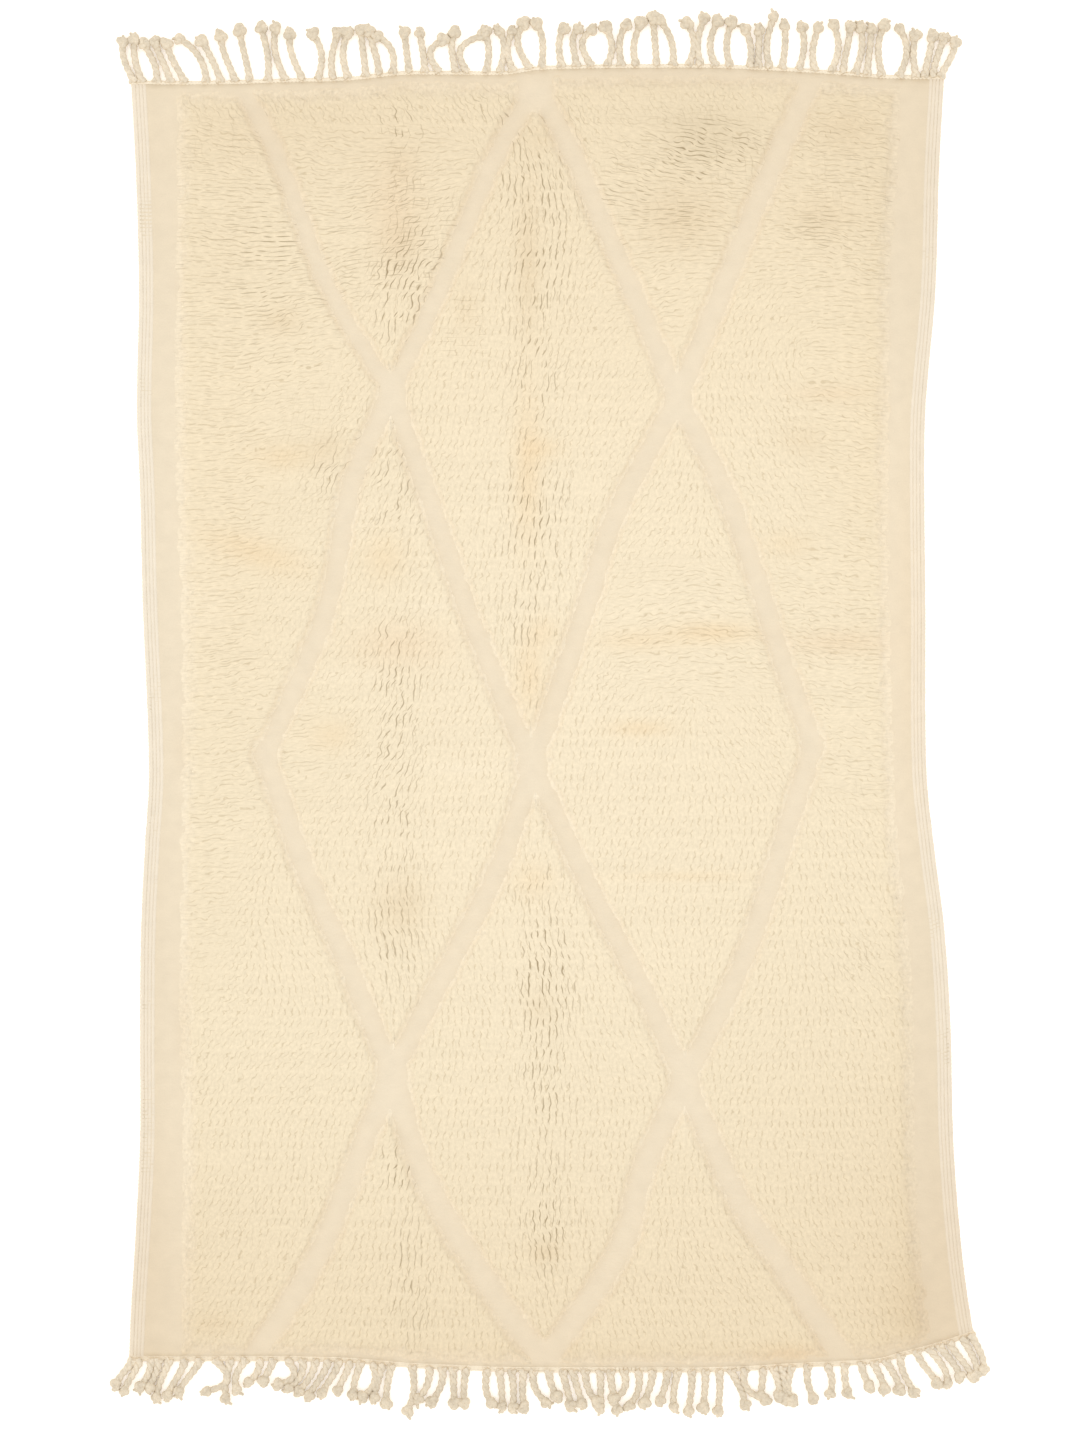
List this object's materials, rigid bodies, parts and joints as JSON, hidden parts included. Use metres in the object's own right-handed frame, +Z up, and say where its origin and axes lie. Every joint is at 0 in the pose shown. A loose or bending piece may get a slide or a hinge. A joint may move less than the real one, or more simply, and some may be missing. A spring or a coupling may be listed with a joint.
{
  "type": "beni ourain rug",
  "caption": "Hand-knotted ivory wool rug lying flat, its raised pile parted by recessed flat-woven bands in a diamond lattice, with knotted warp fringes at both ends.",
  "frame": {"origin": "on the floor, under the middle of the rug and its fringes", "axes": "+X across the rug, +Y along it towards the top fringe, +Z up from the floor through the pile"},
  "size_m": [1.6676, 2.6773, 0.0218],
  "materials": {
    "pile_wool": "undyed ivory wool, hand-knotted cut pile on a flat-woven ground, matt",
    "warp_wool": "undyed plied wool warp, twisted and knotted, matt"
  },
  "bodies": {
    "root": {"rug": "pile_wool", "fringe_top": "warp_wool", "fringe_bottom": "warp_wool"}
  },
  "joints": []
}
